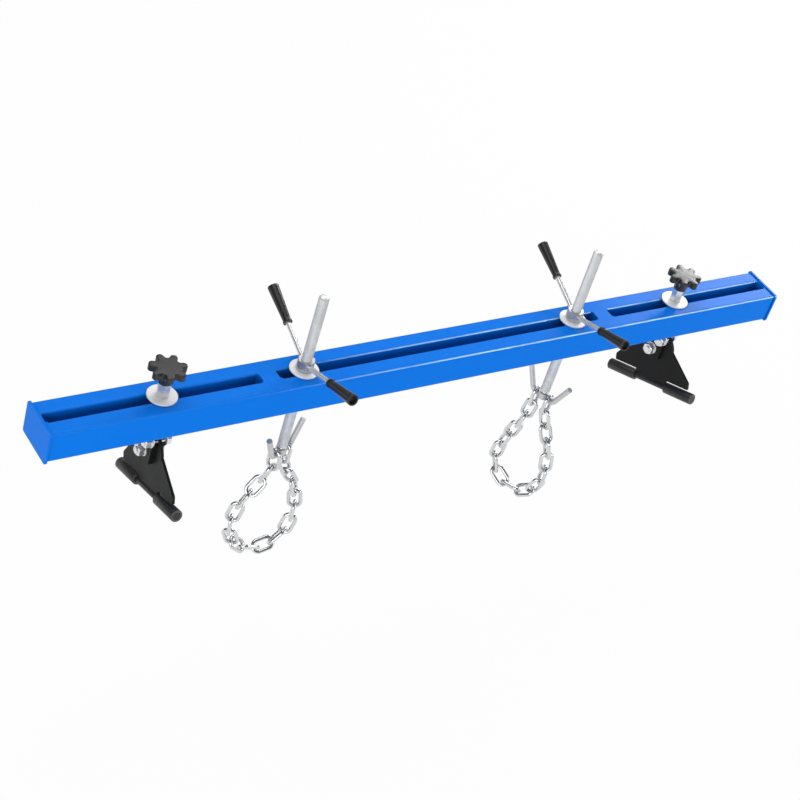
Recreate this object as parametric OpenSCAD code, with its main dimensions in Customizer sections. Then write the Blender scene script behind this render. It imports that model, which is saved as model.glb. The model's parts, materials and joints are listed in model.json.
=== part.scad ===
// Engine support beam: a slotted two-rail beam on two tilting clamp feet,
// with two lifting screws that carry double hooks and chain slings.
// X runs along the beam, Y to the back, Z up. Z = 0 is the top face of the beam.

/* [Beam] */
// Length over both end plates
beam_len = 1500; // [1300:10:1800]
// Height of the two rails
rail_h = 56; // [40:1:70]
// Width of one rail
rail_w = 29; // [20:1:40]
// Wall of the rail tube
rail_wall = 3; // [2:0.5:5]
// Outer corner radius of the rail tube
rail_corner = 3.5; // [2:0.5:6]
// Width of the slot between the rails
slot_w = 20; // [19.5:0.5:24]
// Half length of the middle slot
mid_slot_half = 333; // [320:1:360]
// Length of each spacer between two slots
spacer_len = 31; // [20:1:45]
// Thickness of the end plates
end_plate_t = 4; // [3:0.5:8]
// How far the end plates stand proud of the rails all round
end_plate_lip = 2.5; // [1:0.5:5]
// Corner radius of the end plates
end_plate_corner = 4; // [2:0.5:8]

/* [Feet] */
// Place of the left foot along the beam
foot_left_x = -543; // [-560:1:-500]
// Place of the right foot along the beam
foot_right_x = 521.5; // [500:0.5:560]
// Turn of the left foot about its stud
foot_left_turn = -0.6; // [-30:0.1:30]
// Turn of the right foot about its stud
foot_right_turn = 11.5; // [-30:0.1:30]
// Lean of the foot plates about the pivot bolt, with the front end up
foot_lean = 16.3; // [-25:0.1:25]
// Height of the pivot bolt below the beam top
pivot_drop = 108; // [105:1:120]
// Half width of the foot plate at its base
plate_half_w = 86; // [75:1:95]
// Thickness of the foot plate
plate_t = 5; // [4:0.5:8]
// Radius of the round head of the foot plate
plate_head_r = 43; // [41:0.5:44]
// Height of the upright edges of the foot plate above the rod
plate_edge_h = 28; // [24:1:40]
// Radius of the two shoulders of the foot plate
plate_shoulder_r = 6; // [2:0.5:10]
// Distance from the pivot bolt down to the rod
rod_drop = 75; // [70:1:95]
// Length of the foot rod
rod_len = 197; // [180:1:230]
// Radius of the foot rod
rod_r = 6; // [5:0.5:8]
// Outer radius of the sleeves on the foot rod
sleeve_r = 10.5; // [9:0.5:12]
// Length of each sleeve
sleeve_len = 62.5; // [50:0.5:75]
// Height left free between the sleeves and the foot plate
sleeve_gap = 4.5; // [1:0.5:6]
// Width of the hanger straps across the beam
hanger_w = 42; // [30:1:50]
// Thickness of the hanger strap
hanger_t = 8; // [5:0.5:9]
// Outer bend radius of the hanger
hanger_bend = 9; // [7:0.5:10]
// Radius of the rounded lower corners of the hanger
hanger_corner = 6; // [2:0.5:10]
// How far the hanger reaches below the pivot bolt
hanger_toe = 20; // [15:1:28]
// Distance from the pivot bolt to the lock bolt
lock_r = 33.5; // [31:0.5:34]
// Forward lean of the lock bolt above the pivot bolt
lock_angle = 26.5; // [20:0.5:30]
// Greatest lean of a foot plate either way
lean_limit = 25; // [20:1:30]
// Running play between foot plate and hanger, each side
plate_play = 0.5; // [0.3:0.1:1]

/* [Clamp fasteners] */
// Radius of the clamp stud
stud_r = 8; // [6:0.5:9]
// Nominal radius of the two bolts
bolt_r = 6; // [5:0.5:6]
// Width across flats of the bolt heads and nuts
hex_flats = 19; // [18:0.5:21]
// Thickness of a bolt head
head_t = 7.5; // [6:0.5:9]
// Thickness of a nut
nut_t = 10; // [8:0.5:12]
// How far a bolt stands out of its nut
bolt_out = 3; // [1:0.5:8]
// Outer radius of the small washers
washer_r = 12; // [11:0.5:14]
// Thickness of the small washers
washer_t = 2.5; // [1.5:0.5:3]
// Outer radius of the wide washers on the beam
wide_washer_r = 25; // [20:0.5:30]
// Thickness of the wide washers
wide_washer_t = 3; // [2:0.5:5]

/* [Star knob] */
// Number of lobes
lobes = 7; // [5:1:9]
// Radius over the lobes
knob_r = 31.5; // [28:0.5:34]
// Radius of one lobe
lobe_r = 6.5; // [6:0.5:7.5]
// Radius of one hollow between two lobes
hollow_r = 4.9; // [4.5:0.1:5.5]
// Radius of the star at the bottom of the hollows
core_r = 20.5; // [19:0.5:21.5]
// Height of the lobed part
star_h = 17; // [14:0.5:20]
// Full height of the knob
knob_h = 30; // [27:0.5:40]
// Radius of the neck at its foot
neck_r = 12.5; // [10:0.5:15]
// Radius of the neck where it meets the star
neck_top_r = 18; // [15:0.5:18.5]
// Height over which the neck flares into the star
neck_flare_h = 4; // [2:0.5:7]
// Rounding of the rims of the star
knob_rim = 4; // [2:0.5:6]
// Height of the knob foot above the beam
knob_z = 31; // [10:0.5:36]
// Radius of the metal bush in the knob
bush_r = 10.5; // [9.5:0.5:11]
// Depth of the metal bush in the knob
bush_h = 20; // [14:0.5:22]
// How far the clamp stud stays below the top of the bush
stud_gap = 2; // [1:0.5:8]

/* [Hoists] */
// Place of the left hoist along the beam
hoist_left_x = -284; // [-300:1:-240]
// Place of the right hoist along the beam
hoist_right_x = 279; // [240:1:300]
// Radius of the lifting screw
screw_r = 9; // [7:0.5:9.5]
// Height of the screw's top above the beam
screw_top = 152; // [120:1:180]
// Depth of the screw's lower end below the beam top
screw_drop = 171; // [150:1:200]
// Chamfer on the screw's top end
screw_chamfer = 1.5; // [0.5:0.5:2.5]
// Radius of the round collar under the handle nut
collar_r = 15; // [13:0.5:18]
// Height of the round collar
collar_h = 7; // [4:0.5:9]
// Height of the whole handle nut
hub_h = 19; // [16:0.5:24]
// Width across flats of the handle nut
hub_flats = 27; // [25:0.5:29]
// Height above the beam where the handle arms would meet
arm_z = 10.4; // [9:0.1:12]
// Rise of the handle arms
arm_rise = 18.4; // [10:0.1:25]
// Turn of the left handle about its screw
handle_left_turn = 87.3; // [0:0.1:180]
// Turn of the right handle about its screw
handle_right_turn = 85.5; // [0:0.1:180]
// Radius of the handle arms
arm_r = 4.5; // [3.5:0.5:5]
// How far each arm is let into the handle nut
arm_seat = 2.5; // [1:0.5:3]
// Reach of the grips from the screw's axis
grip_end = 153.3; // [130:0.1:180]
// Length of the grips
grip_len = 72; // [60:0.1:90]
// Radius of the grips at their outer ends
grip_r = 9.8; // [9:0.1:12]
// Radius of the grips behind the collar
grip_small_r = 7; // [6.5:0.1:9]
// Radius of the collar at the inner end of a grip
grip_collar_r = 8; // [7.5:0.1:11]
// Width of the collar at the inner end of a grip
grip_collar = 4; // [3:0.5:8]
// Depth of the open recess in the outer end of a grip
grip_recess = 6; // [3:0.5:10]
// Rim left around the recess
grip_rim = 2.5; // [1.5:0.5:4]
// Thickness of the grip between the recess and the end of the arm
grip_floor = 2; // [1:0.5:4]

/* [Hooks and chains] */
// Radius of the hook bar
hook_r = 5; // [4:0.25:5.25]
// Half length of the straight bottom of the double hook
hook_flat = 16; // [15:0.5:20]
// Bend radius of the hook bar on its centre line
hook_bend = 12; // [8:0.5:16]
// Rise of the hook arms above the level
hook_rise = 65; // [55:1:75]
// Length of the straight hook arms
hook_arm = 47; // [35:1:55]
// How far the boss between hook and screw is wider than the screw
hook_boss_lip = 1; // [0.5:0.1:1.4]
// Height of the boss between hook and screw
hook_boss_h = 12; // [10:0.5:16]
// How far the hook bar is let into the boss
hook_boss_seat = 2; // [1:0.5:4]
// Turn of the left hook about its screw
hook_left_turn = 22.7; // [-90:0.1:90]
// Turn of the right hook about its screw
hook_right_turn = -74.1; // [-90:0.1:90]
// Radius of the chain wire
wire_r = 3.5; // [3:0.05:3.55]
// Inner length of a chain link
link_len = 32.3; // [32:0.1:34]
// Inner width of a chain link
link_gap = 14; // [13.5:0.1:14.5]
// Slack in each joint of the chain
chain_slack = 0.8; // [0.75:0.05:0.9]
// Play of a chain link round the hook bar
hang_play = 0.5; // [0.4:0.1:0.8]
// Play between an end link and the hook boss
link_play = 1; // [0.5:0.1:1.5]
// Turn of the plane in which the left chain loop hangs
loop_left_turn = 0; // [-90:1:90]
// Turn of the plane in which the right chain loop hangs
loop_right_turn = -66; // [-90:1:90]

/* [Hidden] */
$fn = 64;
// radial play of a turning or sliding fit
fit = 0.05;
// radial play of a bolt in a clearance hole
hole_play = 0.5;
// free height between pieces of different bodies
air = 0.3;
// how far a cutting tool passes through a face
cut = 1;

beam_w = 2 * rail_w + slot_w;
rail_len = beam_len - 2 * end_plate_t;
rail_y = (slot_w + rail_w) / 2;
spacer_x = mid_slot_half + spacer_len / 2;

hanger_gap = plate_t + 2 * plate_play;
hanger_out = hanger_gap / 2 + hanger_t;
hanger_top = -rail_h - air;
hanger_foot = -pivot_drop - hanger_toe;
lock_y = -lock_r * sin(lock_angle);
lock_z = -pivot_drop + lock_r * cos(lock_angle);
washer_face = hanger_out + washer_t;
stud_top = knob_z + bush_h - stud_gap;
// arc of the lean slot, counted forward from the top of the plate
slot_from = lock_angle - lean_limit;
slot_to = lock_angle + lean_limit;
slot_half_w = bolt_r + hole_play;

hex_r = 1 / cos(30) / 2;
lobe_pitch_r = knob_r - lobe_r;
// radius of the disc that carries the lobes, inside the hollows' widest place
lobe_disc_r = core_r + 0.7 * hollow_r;

hub_z = wide_washer_t;
grip_start = grip_end - grip_len;
// where an arm's axis leaves the flat of the handle nut
arm_skin = hub_flats / 2 / cos(arm_rise);
arm_start = arm_skin - arm_seat;
arm_end = grip_end - grip_recess - grip_floor;

hook_boss_r = screw_r + hook_boss_lip;
hook_z = -screw_drop - hook_boss_h + hook_boss_seat;
hook_end_u = hook_flat + hook_bend * sin(hook_rise);
hook_end_z = hook_bend * (1 - cos(hook_rise));

link_bend = link_gap / 2 + wire_r;
link_straight = link_len - link_gap;
link_pitch = link_len - chain_slack;
// distance of the end links from the screw's axis
end_link_u = hook_boss_r + link_play + wire_r;
// height of the chain's first joint, under the end link that hangs on the hook bar
end_joint_z = hook_z + hook_r + hang_play - link_len / 2 - link_pitch / 2;
// route of the two chain loops below the end links, as [out, up] in the plane of the loop
LOOP_LEFT = [
    [-22, -230], [-37, -254], [-54, -283], [-63, -316], [-62, -351], [-48, -382], [-20, -404],
    [12, -412], [42, -400], [60, -374], [64, -340], [60, -304], [49, -270], [32, -242], [18, -220]
];
LOOP_RIGHT = [
    [-17, -230], [-24, -260], [-33, -292], [-43, -326], [-46, -364], [-29, -397], [8, -409],
    [42, -391], [56, -354], [55, -314], [44, -276], [29, -244], [17, -219]
];
route_steps = 10;
// links at each end over which the chain turns from the hook bar into its loop
turn_links = 4;
// how much one of two shapes that run into each other is larger, so that the two join cleanly
lap = 0.02;

// ---------- shared shapes ----------

// rectangle with round corners, centred
module round_rect(size, r) {
    square([size.x - 2 * r, size.y], center = true);
    square([size.x, size.y - 2 * r], center = true);
    for (x = [-1, 1], y = [-1, 1])
        translate([x * (size.x / 2 - r), y * (size.y / 2 - r)]) circle(r);
}

// flat ring standing on Z = 0
module ring(r, bore, h) {
    difference() {
        cylinder(r = r, h = h);
        translate([0, 0, -cut]) cylinder(r = bore, h = h + 2 * cut);
    }
}

// hexagonal block with its upper edge turned down, standing on Z = 0
module hex_block(flats, h) {
    corner = flats * hex_r;
    bevel = corner - flats / 2;
    intersection() {
        cylinder(r = corner, h = h, $fn = 6);
        union() {
            cylinder(r = corner + cut, h = h - bevel / 2);
            translate([0, 0, h - bevel / 2]) cylinder(r1 = corner, r2 = flats / 2, h = bevel / 2);
        }
    }
}

// turns a piece so that it stands on the left outside face of the hanger
module on_nut_side() {
    rotate([0, -90, 0]) children();
}

module on_head_side() {
    rotate([0, 90, 0]) children();
}

// ---------- beam ----------

module rail(side) {
    color("royalblue") translate([0, side * rail_y, -rail_h / 2]) rotate([90, 0, 90])
        linear_extrude(rail_len, center = true) difference() {
            round_rect([rail_w, rail_h], rail_corner);
            round_rect([rail_w - 2 * rail_wall, rail_h - 2 * rail_wall], rail_corner - rail_wall / 2);
        }
}

module spacer(side) {
    color("royalblue") translate([side * spacer_x, 0, -rail_h / 2])
        cube([spacer_len, slot_w, rail_h], center = true);
}

module end_plate(side) {
    color("royalblue") translate([side * (beam_len - end_plate_t) / 2, 0, -rail_h / 2])
        rotate([90, 0, 90]) linear_extrude(end_plate_t, center = true)
            round_rect([beam_w + 2 * end_plate_lip, rail_h + 2 * end_plate_lip], end_plate_corner);
}

// ---------- clamp feet ----------

// a foot's own frame: on the beam top at its stud, turned about the stud
module at_foot(side) {
    translate([side < 0 ? foot_left_x : foot_right_x, 0, 0])
        rotate([0, 0, side < 0 ? foot_left_turn : foot_right_turn]) children();
}

// the frame of the leaning plate: at the pivot bolt
module at_plate(side) {
    at_foot(side) translate([0, 0, -pivot_drop]) rotate([-foot_lean, 0, 0]) children();
}

module knob(side) {
    color("dimgray") at_foot(side) translate([0, 0, knob_z]) difference() {
        union() {
            translate([0, 0, knob_h - star_h]) intersection() {
                linear_extrude(star_h) star();
                rotate_extrude() {
                    square([knob_r - knob_rim, star_h]);
                    translate([0, knob_rim]) square([knob_r, star_h - 2 * knob_rim]);
                    for (z = [knob_rim, star_h - knob_rim])
                        translate([knob_r - knob_rim, z]) circle(knob_rim);
                }
            }
            cylinder(r = neck_r, h = knob_h - star_h);
            translate([0, 0, knob_h - star_h - neck_flare_h])
                cylinder(r1 = neck_r, r2 = neck_top_r, h = neck_flare_h);
        }
        translate([0, 0, -cut]) cylinder(r = bush_r, h = bush_h + cut);
    }
}

// outline of the knob seen from above: lobes with hollows between them
module star() {
    difference() {
        union() {
            circle(lobe_disc_r);
            for (i = [0 : lobes - 1]) rotate(360 * i / lobes) translate([lobe_pitch_r, 0]) circle(lobe_r);
        }
        for (i = [0 : lobes - 1])
            rotate(360 * (i + 0.5) / lobes) translate([core_r + hollow_r, 0]) circle(hollow_r);
    }
}

module knob_bush(side) {
    color("gold") at_foot(side) translate([0, 0, knob_z]) ring(bush_r, stud_r + fit, bush_h);
}

module clamp_washer(side) {
    color("silver") at_foot(side) ring(wide_washer_r, stud_r + fit, wide_washer_t);
}

module clamp_stud(side) {
    color("silver") at_foot(side)
        translate([0, 0, hanger_top]) cylinder(r = stud_r, h = stud_top - hanger_top);
}

module hanger(side) {
    color("black") at_foot(side) difference() {
        intersection() {
            rotate([90, 0, 0]) linear_extrude(hanger_w, center = true) strap_profile();
            rotate([90, 0, 90]) linear_extrude(2 * hanger_out + cut, center = true) {
                translate([-hanger_w / 2, hanger_foot + hanger_corner])
                    square([hanger_w, hanger_top - hanger_foot - hanger_corner]);
                translate([0, hanger_foot + hanger_corner])
                    round_rect([hanger_w, 2 * hanger_corner], hanger_corner - lap);
            }
        }
        for (at = [[0, -pivot_drop], [lock_y, lock_z]])
            translate([0, at.x, at.y]) rotate([0, 90, 0])
                cylinder(r = bolt_r + hole_play, h = 2 * hanger_out + 2 * cut, center = true);
    }
}

// the bent strap seen from the front: a web on top and two legs
module strap_profile() {
    difference() {
        union() {
            translate([-hanger_out, hanger_foot])
                square([2 * hanger_out, hanger_top - hanger_foot - hanger_bend]);
            translate([-hanger_out + hanger_bend, hanger_top - hanger_bend])
                square([2 * (hanger_out - hanger_bend), hanger_bend]);
            for (x = [-1, 1])
                translate([x * (hanger_out - hanger_bend), hanger_top - hanger_bend]) circle(hanger_bend);
        }
        translate([-hanger_gap / 2, hanger_foot - cut])
            square([hanger_gap, hanger_top - hanger_t - hanger_foot + cut]);
    }
}

// hexagon bolt through the hanger, with its head on the right
module foot_bolt(side, y, z) {
    color("silver") at_foot(side) translate([0, y, z]) {
        translate([washer_face, 0, 0]) on_head_side() hex_block(hex_flats, head_t);
        translate([washer_face, 0, 0]) on_nut_side()
            cylinder(r = bolt_r, h = 2 * washer_face + nut_t + bolt_out);
    }
}

module pivot_bolt(side) {
    foot_bolt(side, 0, -pivot_drop);
}

module lock_bolt(side) {
    foot_bolt(side, lock_y, lock_z);
}

module foot_nuts(side) {
    color("silver") at_foot(side) for (at = [[0, -pivot_drop], [lock_y, lock_z]])
        translate([-washer_face, at.x, at.y]) on_nut_side() difference() {
            hex_block(hex_flats, nut_t);
            translate([0, 0, -cut]) cylinder(r = bolt_r + fit, h = nut_t + 2 * cut);
        }
}

module foot_washers(side) {
    color("silver") at_foot(side)
        for (at = [[0, -pivot_drop], [lock_y, lock_z]], x = [-washer_face, hanger_out])
        translate([x, at.x, at.y]) rotate([0, 90, 0]) ring(washer_r, bolt_r + fit, washer_t);
}

module foot_plate(side) {
    color("black") at_plate(side) difference() {
        rotate([90, 0, 90]) linear_extrude(plate_t, center = true) difference() {
            union() {
                circle(plate_head_r);
                difference() {
                    polygon([
                        [-plate_half_w, -rod_drop], [plate_half_w, -rod_drop],
                        [plate_half_w, plate_edge_h - rod_drop], [plate_head_r, 0],
                        [-plate_head_r, 0], [-plate_half_w, plate_edge_h - rod_drop]
                    ]);
                    for (y = [0, 1]) mirror([y, 0]) shoulder_cut();
                }
            }
            lean_slot();
            for (y = [0, 1]) mirror([y, 0]) sleeve_clearance();
        }
        rotate([0, 90, 0]) cylinder(r = bolt_r + fit, h = plate_t + 2 * cut, center = true);
        translate([0, 0, -rod_drop]) rotate([90, 0, 0])
            cylinder(r = rod_r + fit, h = rod_len, center = true);
    }
}

// what is cut out of the plate's right half above a sleeve
module sleeve_clearance() {
    translate([rod_len / 2 - sleeve_len - air, -rod_drop - cut])
        square([plate_half_w, cut + sleeve_r + sleeve_gap]);
}

// what the rounding takes off the right shoulder of the plate
module shoulder_cut() {
    slope = atan2(rod_drop - plate_edge_h, plate_half_w - plate_head_r);
    reach = plate_shoulder_r * tan((90 - slope) / 2);
    translate([plate_half_w, plate_edge_h - rod_drop]) difference() {
        polygon([[0, -reach], [cut, -reach], [cut, cut], [-reach * cos(slope), reach * sin(slope) + cut],
            [-reach * cos(slope), reach * sin(slope)]]);
        translate([-plate_shoulder_r, -reach]) circle(plate_shoulder_r);
    }
}

// curved slot in which the lock bolt travels as the foot leans
module lean_slot() {
    mid = 90 + (slot_from + slot_to) / 2;
    difference() {
        circle(lock_r + slot_half_w);
        circle(lock_r - slot_half_w);
        rotate(mid + lean_limit) translate([-cut - plate_head_r, 0]) square(2 * plate_head_r + 2 * cut);
        rotate(mid - lean_limit) translate([-cut - plate_head_r, -2 * plate_head_r - 2 * cut])
            square(2 * plate_head_r + 2 * cut);
    }
    for (turn = [-lean_limit, lean_limit])
        rotate(mid + turn) translate([lock_r, 0]) circle(slot_half_w + lap);
}

module foot_rod(side) {
    color("silver") at_plate(side) translate([0, 0, -rod_drop]) rotate([90, 0, 0])
        cylinder(r = rod_r, h = rod_len, center = true);
}

// end is -1 at the front and 1 at the rear
module sleeve(side, end) {
    color("dimgray") at_plate(side) translate([0, end * (rod_len / 2 - sleeve_len / 2), -rod_drop])
        rotate([90, 0, 0]) translate([0, 0, -sleeve_len / 2]) ring(sleeve_r, rod_r + fit, sleeve_len);
}

// ---------- hoists ----------

module at_hoist(side) {
    translate([side < 0 ? hoist_left_x : hoist_right_x, 0, 0]) children();
}

module hoist_washer(side) {
    color("silver") at_hoist(side) ring(wide_washer_r, screw_r + hole_play, wide_washer_t);
}

// local Z runs out along a handle arm; end is -1 for the front arm and 1 for the rear arm
module along_arm(side, end) {
    turn = side < 0 ? handle_left_turn : handle_right_turn;
    at_hoist(side) translate([0, 0, arm_z]) rotate([0, 0, end < 0 ? turn + 180 : turn])
        rotate([0, 90 - arm_rise, 0]) children();
}

module handle_nut(side) {
    turn = side < 0 ? handle_left_turn : handle_right_turn;
    color("silver") difference() {
        at_hoist(side) translate([0, 0, hub_z]) {
            cylinder(r = collar_r, h = collar_h);
            // half a side more, so that the arms leave from the flats
            rotate([0, 0, turn + 30]) hex_block(hub_flats, hub_h);
        }
        at_hoist(side) cylinder(r = screw_r + fit, h = hub_z + hub_h + cut);
        for (end = [-1, 1])
            along_arm(side, end) translate([0, 0, arm_start]) cylinder(r = arm_r, h = arm_seat + collar_r);
    }
}

module arm(side, end) {
    color("silver") along_arm(side, end)
        translate([0, 0, arm_start]) cylinder(r = arm_r, h = arm_end - arm_start);
}

module grip(side, end) {
    color("dimgray") along_arm(side, end) translate([0, 0, grip_start]) difference() {
        union() {
            cylinder(r = grip_collar_r, h = grip_collar);
            translate([0, 0, grip_collar])
                cylinder(r1 = grip_small_r, r2 = grip_r, h = grip_len - grip_collar);
        }
        translate([0, 0, -cut]) cylinder(r = arm_r + fit, h = cut + arm_end + fit - grip_start);
        translate([0, 0, grip_len - grip_recess]) cylinder(r = grip_r - grip_rim, h = grip_recess + cut);
    }
}

module lift_screw(side) {
    color("silver") at_hoist(side) translate([0, 0, -screw_drop]) {
        cylinder(r = screw_r, h = screw_top + screw_drop - screw_chamfer);
        translate([0, 0, screw_top + screw_drop - screw_chamfer])
            cylinder(r1 = screw_r, r2 = screw_r - screw_chamfer, h = screw_chamfer);
    }
}

module hook(side) {
    color("silver") at_hoist(side) rotate([0, 0, side < 0 ? hook_left_turn : hook_right_turn])
        translate([0, 0, hook_z]) {
            translate([0, 0, -screw_drop - hook_boss_h - hook_z])
                cylinder(r = hook_boss_r, h = hook_boss_h);
            rotate([0, 90, 0]) cylinder(r = hook_r, h = 2 * hook_flat, center = true);
            for (end = [0, 180]) rotate([0, 0, end]) {
                translate([hook_flat, 0, hook_bend]) rotate([90, 0, 0]) rotate([0, 0, -90])
                    rotate_extrude(angle = hook_rise) translate([hook_bend, 0]) circle(hook_r);
                translate([hook_end_u, 0, hook_end_z]) rotate([0, 90 - hook_rise, 0])
                    translate([0, 0, -10 * lap]) cylinder(r = hook_r + lap, h = hook_arm + 10 * lap);
            }
        }
}

// ---------- chains ----------

// point at share t between b and c on a smooth curve through a, b, c and d
function smooth(a, b, c, d, t) =
    0.5 * (2 * b + (c - a) * t + (2 * a - 5 * b + 4 * c - d) * t * t + (3 * b - a - 3 * c + d) * t * t * t);

// closely spaced points along the smooth curve through a route
function fine_route(p) = [
    for (i = [0 : len(p) - 2], k = [0 : route_steps - 1])
        smooth(p[max(i - 1, 0)], p[i], p[i + 1], p[min(i + 2, len(p) - 1)], k / route_steps),
    p[len(p) - 1]
];

// distance along a line of points, up to each of them
function run(p, i = 0, sum = 0) =
    i == len(p) ? [] : concat([sum], run(p, i + 1, sum + (i + 1 < len(p) ? norm(p[i + 1] - p[i]) : 0)));

// point at distance s along the line p, whose running lengths are r
function at_length(p, r, s) =
    let (i = min(len([for (x = r) if (x <= s) 1]) - 1, len(p) - 2))
    p[i] + (p[i + 1] - p[i]) * (s - r[i]) / (r[i + 1] - r[i]);

// the chain's joints in the plane of its loop, from hook bar to hook bar; out is half their distance there
function chain_joints(route, out) =
    let (
        p = fine_route(concat([[-out, end_joint_z]], route, [[out, end_joint_z]])),
        r = run(p),
        total = r[len(r) - 1],
        n = ceil(total / link_pitch)
    )
    concat(
        [[-out, end_joint_z + link_pitch]],
        [for (i = [0 : n]) at_length(p, r, total * i / n)],
        [[out, end_joint_z + link_pitch]]
    );

// 0 at the end of the chain, rising to 1 within the turning links
function settled(links_from_end) = min(1, links_from_end / turn_links);

// roll of link i about its own length: across the hook bar at both ends, and half way over in the loop
function link_roll(i, links, skew) =
    let (last = links - 1, odd_turn = links % 2 == 1 ? 0 : 90)
    90 + 90 * i + 45 * settled(i) + (odd_turn - 45) * (1 - settled(last - i)) + skew * (1 - 2 * i / last);

module link() {
    for (end = [0, 180]) rotate([0, end, 0]) {
        translate([0, 0, link_straight / 2]) rotate([90, 0, 0])
            rotate_extrude(angle = 180) translate([link_bend, 0]) circle(wire_r, $fn = 32);
        translate([link_bend, 0, -link_straight / 2]) cylinder(r = wire_r, h = link_straight);
    }
}

// loop_turn turns the plane of the loop, and hook_turn is the direction of the hook bar
module chain(side, route, loop_turn, hook_turn) {
    skew = hook_turn - loop_turn;
    joints = chain_joints(route, end_link_u * cos(skew));
    links = len(joints) - 1;
    out = [cos(loop_turn), sin(loop_turn), 0];
    face = [-sin(loop_turn), cos(loop_turn), 0];
    // the end links hang on the hook bar, which stands askew to the plane of the loop
    at = [for (i = [0 : links])
        let (near = min(i, links - i), askew = 1 - settled(max(near - 1, 0)))
        out * joints[i].x + face * sign(i - links / 2) * end_link_u * sin(skew) * askew
            + [0, 0, joints[i].y]];
    color("silver") at_hoist(side) for (i = [0 : links - 1]) {
        mid = (at[i] + at[i + 1]) / 2;
        run_dir = (at[i + 1] - at[i]) / norm(at[i + 1] - at[i]);
        level = cross(face, run_dir) / norm(cross(face, run_dir));
        square_face = cross(run_dir, level);
        roll = link_roll(i, links, skew);
        normal = cos(roll) * square_face + sin(roll) * level;
        width = cross(normal, run_dir);
        multmatrix([
            [width.x, normal.x, run_dir.x, mid.x],
            [width.y, normal.y, run_dir.y, mid.y],
            [width.z, normal.z, run_dir.z, mid.z],
            [0, 0, 0, 1]
        ]) link();
    }
}

// ---------- nodes ----------

rail(-1);  // front_rail
rail(1);  // rear_rail
spacer(-1);  // spacer_left
spacer(1);  // spacer_right
end_plate(-1);  // end_plate_left
end_plate(1);  // end_plate_right

knob(-1);  // knob_left
knob_bush(-1);  // knob_bush_left
clamp_washer(-1);  // clamp_washer_left
clamp_stud(-1);  // clamp_stud_left
hanger(-1);  // hanger_left
pivot_bolt(-1);  // pivot_bolt_left
lock_bolt(-1);  // lock_bolt_left
foot_nuts(-1);  // foot_nuts_left
foot_washers(-1);  // foot_washers_left
foot_plate(-1);  // foot_plate_left
foot_rod(-1);  // foot_rod_left
sleeve(-1, -1);  // sleeve_front_left
sleeve(-1, 1);  // sleeve_rear_left

knob(1);  // knob_right
knob_bush(1);  // knob_bush_right
clamp_washer(1);  // clamp_washer_right
clamp_stud(1);  // clamp_stud_right
hanger(1);  // hanger_right
pivot_bolt(1);  // pivot_bolt_right
lock_bolt(1);  // lock_bolt_right
foot_nuts(1);  // foot_nuts_right
foot_washers(1);  // foot_washers_right
foot_plate(1);  // foot_plate_right
foot_rod(1);  // foot_rod_right
sleeve(1, -1);  // sleeve_front_right
sleeve(1, 1);  // sleeve_rear_right

hoist_washer(-1);  // hoist_washer_left
handle_nut(-1);  // handle_nut_left
arm(-1, 1);  // arm_rear_left
arm(-1, -1);  // arm_front_left
grip(-1, 1);  // grip_rear_left
grip(-1, -1);  // grip_front_left
lift_screw(-1);  // lift_screw_left
hook(-1);  // hook_left
chain(-1, LOOP_LEFT, loop_left_turn, hook_left_turn);  // chain_left

hoist_washer(1);  // hoist_washer_right
handle_nut(1);  // handle_nut_right
arm(1, 1);  // arm_rear_right
arm(1, -1);  // arm_front_right
grip(1, 1);  // grip_rear_right
grip(1, -1);  // grip_front_right
lift_screw(1);  // lift_screw_right
hook(1);  // hook_right
chain(1, LOOP_RIGHT, loop_right_turn, hook_right_turn);  // chain_right
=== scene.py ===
import json
import math

import bmesh
import bpy
from mathutils import Matrix, Vector
from mathutils.bvhtree import BVHTree

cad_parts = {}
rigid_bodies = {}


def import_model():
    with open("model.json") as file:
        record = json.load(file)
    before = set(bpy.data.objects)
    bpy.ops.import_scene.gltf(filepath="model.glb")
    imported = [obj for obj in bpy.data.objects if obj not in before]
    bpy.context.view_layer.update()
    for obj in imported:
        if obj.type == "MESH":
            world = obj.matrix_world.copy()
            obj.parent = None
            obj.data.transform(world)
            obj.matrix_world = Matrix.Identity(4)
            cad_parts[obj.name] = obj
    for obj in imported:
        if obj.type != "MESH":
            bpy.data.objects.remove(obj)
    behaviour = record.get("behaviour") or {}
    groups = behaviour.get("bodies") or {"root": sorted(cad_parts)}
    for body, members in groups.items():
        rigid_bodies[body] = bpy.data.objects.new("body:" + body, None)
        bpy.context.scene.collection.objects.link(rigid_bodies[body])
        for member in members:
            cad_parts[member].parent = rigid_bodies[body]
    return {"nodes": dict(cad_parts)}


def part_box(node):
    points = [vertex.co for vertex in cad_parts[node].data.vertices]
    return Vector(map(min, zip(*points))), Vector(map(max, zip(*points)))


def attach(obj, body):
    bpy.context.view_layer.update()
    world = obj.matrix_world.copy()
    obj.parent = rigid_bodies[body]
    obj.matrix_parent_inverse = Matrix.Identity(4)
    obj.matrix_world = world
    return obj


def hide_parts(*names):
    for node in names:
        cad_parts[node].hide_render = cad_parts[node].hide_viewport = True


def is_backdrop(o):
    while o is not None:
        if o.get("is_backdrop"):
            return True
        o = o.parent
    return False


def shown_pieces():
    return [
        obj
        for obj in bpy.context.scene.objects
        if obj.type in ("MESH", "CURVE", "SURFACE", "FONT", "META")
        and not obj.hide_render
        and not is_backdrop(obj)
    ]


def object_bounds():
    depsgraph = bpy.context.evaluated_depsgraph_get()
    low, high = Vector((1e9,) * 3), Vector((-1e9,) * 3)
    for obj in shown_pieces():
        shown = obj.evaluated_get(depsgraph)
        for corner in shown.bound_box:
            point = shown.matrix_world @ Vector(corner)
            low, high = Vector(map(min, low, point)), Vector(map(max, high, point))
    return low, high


# Looks of the engine support beam round the CAD frame: paint, plating, threads, knobs,
# slot fills and soft edges.

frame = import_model()
NODES = frame["nodes"]
cad_low, cad_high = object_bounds()

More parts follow.
